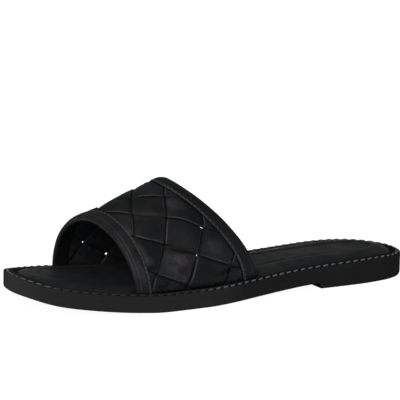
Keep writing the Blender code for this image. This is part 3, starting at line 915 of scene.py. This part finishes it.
def make_binding(name, solid, width, rear, seed, material):
    """A folded binding along the strap's rear or front edge: the front one a little paler, with a painted
    highlight near its lateral foot, and the rear one darker with painted shade all along.
    """
    mesh = bmesh.new()
    highlight_layer = mesh.verts.layers.float.new("edge")
    wear_and_light_layer = mesh.verts.layers.float.new("wear_and_painted_light")
    distances, lifts, edges = np.array(binding_section(width)).T
    side = np.where(lifts > -BINDING_INSIDE / 2, 1, -1)
    free = np.clip(distances / width, 0, 1) ** 2
    middle = np.exp(-(((distances / width - 0.5) / 0.3) ** 2))
    count = len(distances)
    rows = []
    for turn in np.linspace(0, math.pi, BINDING_STATIONS):
        place = distances + BINDING_WANDER * binding_wave(turn, seed) * free
        reach = place / strap_depth(turn)
        pucker = BINDING_PUCKER * math.sin(turn * GIRTH / BINDING_STITCH_PITCH * 2)
        lift = lifts + side * (pucker * free + BINDING_SWELL * binding_wave(turn, seed + 3))
        points = strap_point(np.full(count, turn), reach if rear else 1 - reach, lift)
        # Painted highlight low on the front binding, near its lateral foot
        low = math.exp(-(((turn - FRONT_FOOT[0]) / FRONT_FOOT[1]) ** 2)) * middle
        paleness_and_highlight = FRONT_BINDING_PALENESS + FRONT_FOOT_HIGHLIGHT * low
        row = [mesh.verts.new(point) for point in points]
        for k, vert in enumerate(row):
            # Painted highlight on the binding's rounded edge and on its lip ridge
            vert[highlight_layer] = edges[k]
            vert[wear_and_light_layer] = REAR_BINDING_SHADE if rear else paleness_and_highlight[k]
        rows.append(row)
    bridge(mesh, rows)
    mesh.faces.new(rows[0])
    mesh.faces.new(rows[-1][::-1])
    bmesh.ops.recalc_face_normals(mesh, faces=mesh.faces[:])
    return add_piece(name, mesh, material, [solid])


def feed(made, inputs):
    """Gives a node its inputs, by name or place. A node stands for its first output, and a socket is linked
    too. Anything else is a fixed value."""
    for name, value in inputs.items():
        socket = made.inputs[name]
        if isinstance(value, bpy.types.Node):
            value = next(output for output in value.outputs if output.enabled)
        if isinstance(value, bpy.types.NodeSocket):
            made.id_data.links.new(value, socket)
        elif socket.type == "RGBA":
            socket.default_value = (*value, 1.0)
        else:
            socket.default_value = value


def node(tree, kind, inputs=None, **settings):
    """A new node with its settings and inputs."""
    made = tree.nodes.new(kind)
    for name, value in settings.items():
        setattr(made, name, value)
    feed(made, inputs or {})
    return made


def maths(tree, operation, *values, **settings):
    return node(tree, "ShaderNodeMath", dict(enumerate(values)), operation=operation, **settings)


def add_socket(tree, way, kind, name):
    """A new input or output of a node group, with its identifier."""
    return tree.interface.new_socket(name=name, in_out=way, socket_type="NodeSocket" + kind).identifier


def stitch_tree():
    """Geometry nodes that lay one stitch at each pitch along a line whose points hold an up direction."""
    tree = bpy.data.node_groups.new("stitch_row", "GeometryNodeTree")
    tree.is_modifier = True
    add_socket(tree, "INPUT", "Geometry", "Line")
    sockets = {name: add_socket(tree, "INPUT", "Float", name) for name in STITCH_INPUTS}
    sockets["Thread"] = add_socket(tree, "INPUT", "Material", "Thread")
    add_socket(tree, "OUTPUT", "Geometry", "Stitches")
    given = node(tree, "NodeGroupInput", name="Sizes").outputs
    curve = node(tree, "GeometryNodeMeshToCurve", {"Mesh": given["Line"]}, name="Line to curve")
    spaced = {"Curve": curve, "Length": given["Pitch"]}
    points = node(tree, "GeometryNodeResampleCurve", spaced, name="One point a stitch", mode="LENGTH")
    along = node(tree, "GeometryNodeInputTangent", name="Along the line")
    up = node(tree, "GeometryNodeInputNamedAttribute", {"Name": "up"}, name="Up from the leather",
              data_type="FLOAT_VECTOR")
    laid = node(tree, "FunctionNodeAlignRotationToVector", {"Vector": along}, name="Lay along", axis="X")
    standing = node(tree, "FunctionNodeAlignRotationToVector", {"Rotation": laid, "Vector": up},
                    name="Stand on leather", axis="Z", pivot_axis="X")
    slant = node(tree, "FunctionNodeAxisAngleToRotation", {"Axis": (0.0, 0.0, 1.0), "Angle": given["Slant"]},
                 name="Slant of a stitch")
    slanted = node(tree, "FunctionNodeRotateRotation", {"Rotation": standing, "Rotate By": slant},
                   name="Slanted stitch", rotation_space="LOCAL")
    smallest = maths(tree, "SUBTRACT", 1.0, given["Unevenness"], name="Smallest")
    largest = maths(tree, "ADD", 1.0, given["Unevenness"], name="Largest")
    size = node(tree, "FunctionNodeRandomValue", {"Seed": STITCH_SEED}, name="Uneven size", data_type="FLOAT")
    floats = [i for i, socket in enumerate(size.inputs) if socket.type == "VALUE" and socket.enabled]
    feed(size, {floats[0]: smallest, floats[1]: largest})
    loop = node(tree, "GeometryNodeMeshUVSphere", {"Segments": 12, "Rings": 8, "Radius": 0.5},
                name="Thread loop")
    scale = node(tree, "ShaderNodeCombineXYZ",
                 {"X": given["Length"], "Y": given["Width"], "Z": given["Height"]}, name="Stitch scale")
    stitch = node(tree, "GeometryNodeTransform", {"Geometry": loop, "Scale": scale}, name="Stitch size")
    row = node(tree, "GeometryNodeInstanceOnPoints",
               {"Points": points, "Instance": stitch, "Rotation": slanted, "Scale": size},
               name="Stitch on each point")
    real = node(tree, "GeometryNodeRealizeInstances", {"Geometry": row}, name="Real stitches")
    finish = node(tree, "GeometryNodeSetMaterial", {"Geometry": real, "Material": given["Thread"]},
                  name="Thread finish")
    node(tree, "NodeGroupOutput", {"Stitches": finish}, name="Result")
    return tree, sockets


def stitch_row(name, line, closed, stitch, material, tree, sockets):
    """A row of stitches along a line of points with their up directions, made real."""
    points, ups = line
    data = bpy.data.meshes.new(name + "_line")
    count = len(points)
    edges = [(i, (i + 1) % count) for i in range(count if closed else count - 1)]
    data.from_pydata([tuple(point) for point in points], edges, [])
    up = data.attributes.new("up", "FLOAT_VECTOR", "POINT")
    up.data.foreach_set("vector", np.asarray(ups, float).ravel())
    laid = new_object(name + "_line", data)
    modifier = laid.modifiers.new("stitches", "NODES")
    modifier.node_group = tree
    for socket, value in zip((*STITCH_INPUTS, "Thread"), (*stitch, material)):
        modifier[sockets[socket]] = value
    bpy.context.view_layer.update()
    graph = bpy.context.evaluated_depsgraph_get()
    made = bpy.data.meshes.new_from_object(laid.evaluated_get(graph))
    made.name = name
    bpy.data.objects.remove(laid)
    return add_piece(name, made, material)


def rim_line():
    """Line of the rim's stitches, in their channel."""
    stations = -LENGTH / 2 * np.cos(np.linspace(0, math.pi, RIM_STATIONS))
    ring = outline_ring(RIM_STITCH_INSET, stations)
    points = lifted(ring, rim_z(ring[:, 1]) + RIM_STITCH_LIFT)
    return points, np.tile((0.0, 0.0, 1.0), (len(points), 1))


def binding_line(width, rear):
    """Line of a binding's stitches, on its outer leaf."""
    turns = np.linspace(LINE_END, math.pi - LINE_END, LINE_STATIONS)
    distance = width - BINDING_STITCH_INSET
    depth = strap_depth(turns)
    reach = distance / depth if rear else 1 - distance / depth
    point, out = strap_frame(turns, reach)
    return point + (BINDING_PROUD + BINDING_STITCH_LIFT) * out, out


def noise(tree, where, kind):
    scale, detail, roughness = NOISES[kind]
    inputs = {"Vector": where, "Scale": scale, "Detail": detail, "Roughness": roughness}
    return node(tree, "ShaderNodeTexNoise", inputs)


def layer_value(tree, name):
    return node(tree, "ShaderNodeAttribute", attribute_name=name).outputs["Fac"]


def ranged(tree, value, low, high, first=0.0, last=1.0):
    """A value between low and high, laid out between first and last."""
    inputs = {"Value": value, "From Min": low, "From Max": high, "To Min": first, "To Max": last}
    return node(tree, "ShaderNodeMapRange", inputs)


def mixed(tree, first, second, factor, blend="MIX"):
    inputs = {"A": first, "B": second, "Factor": factor}
    return node(tree, "ShaderNodeMix", inputs, data_type="RGBA", blend_type=blend)


def relief(tree, height, strength, distance):
    return node(tree, "ShaderNodeBump", {"Height": height, "Strength": strength, "Distance": distance})


def grain_group():
    """Fine grain of leather: small rounded cells over a softer unevenness, with slow patches of wear and
    fine streaks of scuffing."""
    tree = bpy.data.node_groups.new("leather_grain", "ShaderNodeTree")
    add_socket(tree, "INPUT", "Vector", "Vector")
    add_socket(tree, "INPUT", "Float", "Cell size")
    for name in ("Height", "Wear", "Scuff"):
        add_socket(tree, "OUTPUT", "Float", name)
    given = node(tree, "NodeGroupInput").outputs
    where = given["Vector"]
    warp = noise(tree, where, "warp").outputs["Color"]
    spread = node(tree, "ShaderNodeVectorMath", {0: warp, 1: CELL_WARP, 2: where}, operation="MULTIPLY_ADD")
    per_metre = maths(tree, "DIVIDE", 1.0, given["Cell size"])
    inputs = {"Vector": spread, "Scale": per_metre, "Smoothness": 0.35}
    cells = node(tree, "ShaderNodeTexVoronoi", inputs, feature="SMOOTH_F1")
    grain = maths(tree, "MULTIPLY", cells.outputs["Distance"], GRAIN_DEPTH)
    folds = maths(tree, "MULTIPLY", noise(tree, where, "wrinkle"), WRINKLE_DEPTH)
    fine = maths(tree, "SUBTRACT", folds, grain)
    height = maths(tree, "MULTIPLY_ADD", noise(tree, where, "puff"), PUFF_DEPTH, fine)
    wear = ranged(tree, noise(tree, where, "patches"), *WEAR_RANGE)
    scuff = ranged(tree, noise(tree, where, "streaks"), *SCUFF_RANGE)
    node(tree, "NodeGroupOutput", {"Height": height, "Wear": wear, "Scuff": scuff})
    return tree


def new_material(name):
    material = bpy.data.materials.new(name)
    material.use_nodes = True
    tree = material.node_tree
    return material, tree, tree.nodes["Principled BSDF"]


def leather(name, group, look):
    """Black leather: grain, slow patches, a painted highlight on the proud edges and painted shade in the
    crevices and creases.
    """
    dark, light, roughness, cell, bump, edge_highlight = look
    material, tree, surface = new_material(name)
    where = node(tree, "ShaderNodeTexCoord").outputs["Object"]
    grain = node(tree, "ShaderNodeGroup", {"Vector": where, "Cell size": cell}, node_tree=group).outputs
    wear = grain["Wear"]
    wear_and_painted_light = layer_value(tree, "wear_and_painted_light")
    # Painted highlight on the proud edges, uneven with the wear patches
    uneven = maths(tree, "MULTIPLY_ADD", wear, 0.6 * edge_highlight, 0.4 * edge_highlight)
    painted_light = maths(tree, "MULTIPLY", layer_value(tree, "edge"), uneven)
    # Painted shade: the crevice layer darkens the colour almost to black
    painted_shade = maths(tree, "MULTIPLY", layer_value(tree, "crevice_shade"), PAINTED_SHADE_SHARE)
    # This layer pales the leather from wear and from painted highlights where plus, and darkens it with
    # painted shade where minus
    age = maths(tree, "ADD", wear, wear_and_painted_light, use_clamp=True)
    scuff = maths(tree, "MULTIPLY", wear_and_painted_light, grain["Scuff"], use_clamp=True)
    worn = mixed(tree, mixed(tree, dark, light, age), SCUFF_COLOUR, scuff)
    cast = ranged(tree, noise(tree, where, "cast"), *CAST_RANGE)
    tinted = mixed(tree, worn, mixed(tree, COOL_CAST, WARM_CAST, cast), 1.0, "MULTIPLY")
    highlighted = mixed(tree, tinted, EDGE_HIGHLIGHT_COLOUR, painted_light)
    gloss = ranged(tree, wear, 0.0, 1.0, roughness + 0.05, roughness - 0.07)
    feed(surface, {
        "Base Color": mixed(tree, highlighted, PAINTED_SHADE_COLOUR, painted_shade),
        "Roughness": maths(tree, "MULTIPLY_ADD", painted_shade, 0.5, gloss, use_clamp=True),
        "Normal": relief(tree, grain["Height"], bump, GRAIN_RELIEF),
        "Specular IOR Level": LEATHER_SHINE,
    })
    return material


def along_foot(tree, where, stretch):
    """A value that changes along the foot, from a table of shares of LENGTH and strengths."""
    place = node(tree, "ShaderNodeSeparateXYZ", {"Vector": where}).outputs["Y"]
    curve = node(tree, "ShaderNodeFloatCurve", {"Value": ranged(tree, place, -LENGTH / 2, LENGTH / 2)})
    points = curve.mapping.curves[0].points
    points[0].location = stretch[0]
    points[1].location = stretch[-1]
    for share, value in stretch[1:-1]:
        points.new(share, value)
    curve.mapping.update()
    return curve


def rubber(name):
    """Matt moulded rubber or painted board edge: a fine spark finish, with a slow cloudiness, painted light
    that pales the forefoot, and painted shade in the grooves and under the arch."""
    material, tree, surface = new_material(name)
    where = node(tree, "ShaderNodeTexCoord").outputs["Object"]
    cloud = noise(tree, where, "cloud")
    clean = mixed(tree, RUBBER_DARK, RUBBER_LIGHT, cloud)
    # Painted light: paler towards the toe, where more light falls
    forefoot_lit = mixed(tree, clean, PAINTED_LIGHT_COLOUR, along_foot(tree, where, LIT_STRETCH))
    feed(surface, {
        # Painted shade where the groove layer is set
        "Base Color": mixed(tree, forefoot_lit, PAINTED_SHADE_COLOUR, layer_value(tree, "groove_shade")),
        "Roughness": ranged(tree, cloud, 0.0, 1.0, RUBBER_ROUGHNESS - 0.06, RUBBER_ROUGHNESS + 0.06),
        "Normal": relief(tree, noise(tree, where, "sparks"), *RUBBER_RELIEF),
        "Specular IOR Level": 0.0,
    })
    return material


def thread(name, colour, shaded):
    """Twisted thread with fine ridges along each stitch. The rim's carries painted shade beside and ahead of
    the strap and at the heel and toe ends.
    """
    material, tree, surface = new_material(name)
    where = node(tree, "ShaderNodeTexCoord").outputs["Object"]
    twist = noise(tree, where, "twist")
    low, high = (tuple(share * value for value in colour) for share in THREAD_SHADES)
    tone = mixed(tree, low, high, twist)
    if shaded:
        # Painted shade on the rim's thread, along the foot
        tone = mixed(tree, tone, THREAD_SHADE_COLOUR, along_foot(tree, where, SHADED_STRETCH))
    normal = relief(tree, twist, *THREAD_RELIEF)
    feed(surface, {"Base Color": tone, "Roughness": THREAD_ROUGHNESS, "Normal": normal})
    feed(surface, {"Specular IOR Level": THREAD_SHINE})
    return material


# Camera, from the fit of the sandal to the photo
PICTURE = 400
SENSOR = 36.0
CAMERA_TURN = math.radians(30.107)
CAMERA_RISE = math.radians(12.735)
CAMERA_ROLL = math.radians(1.640)
CAMERA_DISTANCE = 1.308908
FOCAL_PIXELS = 2288.6
AIM_POINT = Vector((SIDE_SHIFT, 0.0, 0.020))
AIM_PIXEL = (211.28, 252.27)


def make_camera():
    data = bpy.data.cameras.new("photo_camera")
    data.sensor_width = SENSOR
    data.lens = FOCAL_PIXELS / PICTURE * SENSOR
    camera = new_object("photo_camera", data)
    flat = math.cos(CAMERA_RISE)
    back = Vector((-math.cos(CAMERA_TURN) * flat, math.sin(CAMERA_TURN) * flat, math.sin(CAMERA_RISE)))
    level = Vector((-math.sin(CAMERA_TURN), -math.cos(CAMERA_TURN), 0.0))
    upward = back.cross(level)
    right = math.cos(CAMERA_ROLL) * level + math.sin(CAMERA_ROLL) * upward
    up = math.cos(CAMERA_ROLL) * upward - math.sin(CAMERA_ROLL) * level
    aside = PICTURE / 2 - AIM_PIXEL[0]
    above = AIM_PIXEL[1] - PICTURE / 2
    behind = (back * FOCAL_PIXELS - right * aside - up * above).normalized()
    side = (right - behind * right.dot(behind)).normalized()
    turn = Matrix((side, behind.cross(side), behind)).transposed().to_4x4()
    turn.translation = AIM_POINT + back * CAMERA_DISTANCE
    camera.matrix_world = turn
    bpy.context.scene.camera = camera


# A lit white table
FLOOR_RADIUS = 9.0
FLOOR_COLOUR = (0.25, 0.25, 0.25)
FLOOR_GLOW = 0.95
WHITE = (1.0, 1.0, 1.0)


def make_floor():
    mesh = bmesh.new()
    bmesh.ops.create_circle(mesh, cap_ends=True, segments=96, radius=FLOOR_RADIUS)
    floor = new_object("studio_floor", mesh_data("studio_floor", mesh))
    material, _, surface = new_material("pale_floor")
    feed(surface, {"Base Color": FLOOR_COLOUR, "Roughness": 0.9, "Specular IOR Level": 0.0})
    feed(surface, {"Emission Color": WHITE, "Emission Strength": FLOOR_GLOW})
    floor.data.materials.append(material)


# Soft boxes: place, size and power, and the brightness of the room
LAMPS = (
    ("name", "x", "y", "z", "size", "power"),
    ("key", -0.9, 1.5, 1.5, 1.2, 34.0),
    ("fill", -1.6, -0.9, 1.1, 1.4, 5.0),
    ("top", 0.3, 0.1, 2.0, 1.6, 3.0),
)
ROOM_GLOW = 0.20


def make_lights():
    for name, x, y, z, size, power in LAMPS[1:]:
        data = bpy.data.lights.new(name, "AREA")
        data.size = size
        data.energy = power
        lamp = new_object(name, data)
        lamp.location = (x, y, z)
        lamp.rotation_mode = "QUATERNION"
        lamp.rotation_quaternion = (Vector((x, y, z)) - AIM_POINT).to_track_quat("Z", "Y")
    world = bpy.data.worlds.new("studio")
    bpy.context.scene.world = world
    world.use_nodes = True
    feed(world.node_tree.nodes["Background"], {"Color": WHITE, "Strength": ROOM_GLOW})
    bpy.context.scene.view_settings.view_transform = "Standard"


make_camera()
make_floor()
make_lights()

GRAIN = grain_group()
FOLDED_LEATHER = leather("binding_leather", GRAIN, BINDING_LOOK)
SHADED_THREAD = thread("shaded_thread", RIM_THREAD, True)
FINE_THREAD = thread("binding_thread", BINDING_THREAD, False)
TREE, SOCKETS = stitch_tree()

make_outsole(rubber("outsole_rubber"))
make_midsole(rubber("board_edge"))
make_insole(leather("footbed_leather", GRAIN, FOOTBED_LOOK))
make_upper(leather("strip_leather", GRAIN, STRIP_LOOK))
make_binding("front_binding_leather", "front_binding", FRONT_BINDING_WIDTH, False, 0.7, FOLDED_LEATHER)
make_binding("rear_binding_leather", "rear_binding", REAR_BINDING_WIDTH, True, 2.1, FOLDED_LEATHER)

stitch_row("rim_stitches", rim_line(), True, RIM_STITCH, SHADED_THREAD, TREE, SOCKETS)
for place, fold_width in (("front", FRONT_BINDING_WIDTH), ("rear", REAR_BINDING_WIDTH)):
    fold_line = binding_line(fold_width, place == "rear")
    stitch_row(f"{place}_binding_stitches", fold_line, False, BINDING_STITCH, FINE_THREAD, TREE, SOCKETS)
